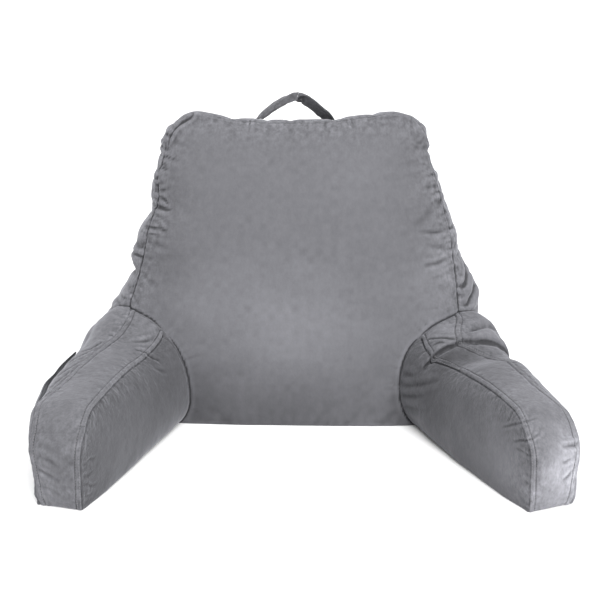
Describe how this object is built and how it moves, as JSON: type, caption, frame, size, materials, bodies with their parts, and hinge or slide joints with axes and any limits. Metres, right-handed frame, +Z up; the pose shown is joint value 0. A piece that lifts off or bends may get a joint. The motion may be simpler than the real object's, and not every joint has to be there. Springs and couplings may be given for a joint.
{
  "type": "reading pillow with arms",
  "caption": "Filled back cushion that leans backwards, with spreading filled arms, a carry strap behind its top seam and a side pocket",
  "frame": {"origin": "on the floor, under the middle of the bounding box of the whole pillow", "axes": "+Z up, -Y the way the arms reach and the sitter faces, +X to the right as seen from the front; the pocket is on the -X arm"},
  "size_m": [0.758, 0.5228, 0.4927],
  "materials": {
    "back_plush": "short-pile grey plush with soft brushed patches",
    "arm_left_plush": "short-pile grey plush with felled seams",
    "arm_right_plush": "short-pile grey plush with felled seams",
    "handle_plush": "folded plush strap, stitched lengthwise",
    "pocket_plush": "short-pile grey plush, bartacked at the mouth"
  },
  "bodies": {
    "root": {"back": "back_plush", "arm_left": "arm_left_plush", "arm_right": "arm_right_plush", "handle": "handle_plush", "pocket": "pocket_plush"}
  },
  "joints": []
}
